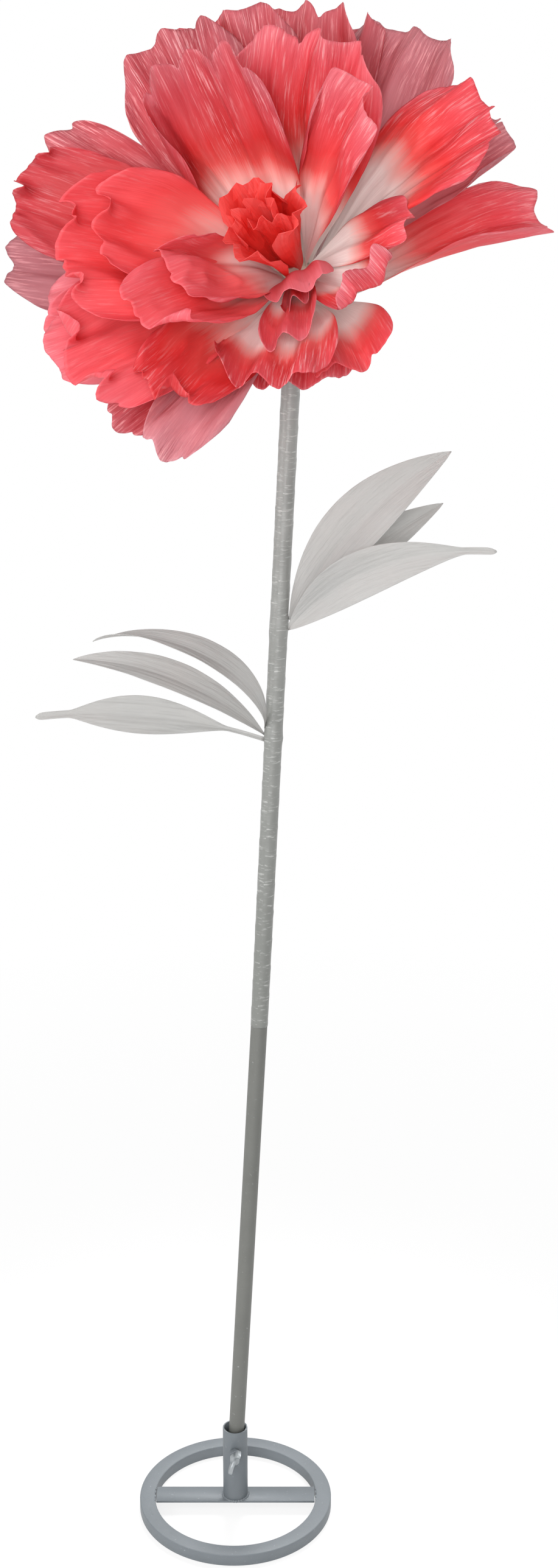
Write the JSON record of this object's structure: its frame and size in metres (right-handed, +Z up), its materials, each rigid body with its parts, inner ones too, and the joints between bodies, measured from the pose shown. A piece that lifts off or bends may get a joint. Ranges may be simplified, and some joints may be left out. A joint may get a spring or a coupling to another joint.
{
  "type": "free-standing giant paper flower",
  "caption": "Giant ruffled crepe-paper flower with a crumpled core on a paper-wrapped pole with leaves, clamped by a wing screw in the socket of a flat steel ring base.",
  "frame": {"origin": "on the floor, under the middle of the whole object's box", "axes": "+Z up along the pole, the flower looks towards -Y and a little to -X"},
  "size_m": [0.5883, 0.3923, 1.8641],
  "materials": {
    "grey_paint": "satin grey paint",
    "zinc": "dull zinc plate",
    "pole_pipe": "satin light grey paint",
    "white_crepe": "matt white crepe paper",
    "coral_crepe": "satin coral crepe paper, white at the foot",
    "red_crepe": "crumpled red crepe paper",
    "block_wood": "plain turned wood"
  },
  "bodies": {
    "stand": {"base_ring": "grey_paint", "cross_bar": "grey_paint", "socket_tube": "grey_paint", "clamp_nut": "grey_paint", "lower_pipe": "pole_pipe", "upper_pipe": "pole_pipe", "pole_spigot": "pole_pipe", "stem_wrap": "white_crepe", "flower_block": "block_wood", "outer_petal_01": "coral_crepe", "outer_petal_02": "coral_crepe", "outer_petal_03": "coral_crepe", "outer_petal_04": "coral_crepe", "outer_petal_05": "coral_crepe", "outer_petal_06": "coral_crepe", "outer_petal_07": "coral_crepe", "outer_petal_08": "coral_crepe", "outer_petal_09": "coral_crepe", "outer_petal_10": "coral_crepe", "outer_petal_11": "coral_crepe", "outer_petal_12": "coral_crepe", "outer_petal_13": "coral_crepe", "outer_petal_14": "coral_crepe", "outer_petal_15": "coral_crepe", "outer_petal_16": "coral_crepe", "middle_petal_1": "coral_crepe", "middle_petal_2": "coral_crepe", "middle_petal_3": "coral_crepe", "middle_petal_4": "coral_crepe", "middle_petal_5": "coral_crepe", "middle_petal_6": "coral_crepe", "middle_petal_7": "coral_crepe", "inner_petal_1": "coral_crepe", "inner_petal_2": "coral_crepe", "inner_petal_3": "coral_crepe", "inner_petal_4": "coral_crepe", "inner_petal_5": "coral_crepe", "inner_petal_6": "coral_crepe", "inner_petal_7": "coral_crepe", "inner_petal_8": "coral_crepe", "inner_petal_9": "coral_crepe", "core_petal_1": "red_crepe", "core_petal_2": "red_crepe", "core_petal_3": "red_crepe", "core_petal_4": "red_crepe", "core_petal_5": "red_crepe", "core_petal_6": "red_crepe", "leaf_right_upper": "white_crepe", "leaf_right_middle": "white_crepe", "leaf_right_lower": "white_crepe", "leaf_left_upper": "white_crepe", "leaf_left_middle": "white_crepe", "leaf_left_lower": "white_crepe"},
    "wing_screw": {"wing_screw": "zinc"}
  },
  "joints": [
    {"name": "wing_screw_turn", "type": "hinge", "parent": "stand", "child": "wing_screw", "pos_m": [-0.053, 0.045, 0.09], "axis": [0, -1, 0], "range_deg": [0, 720]}
  ]
}
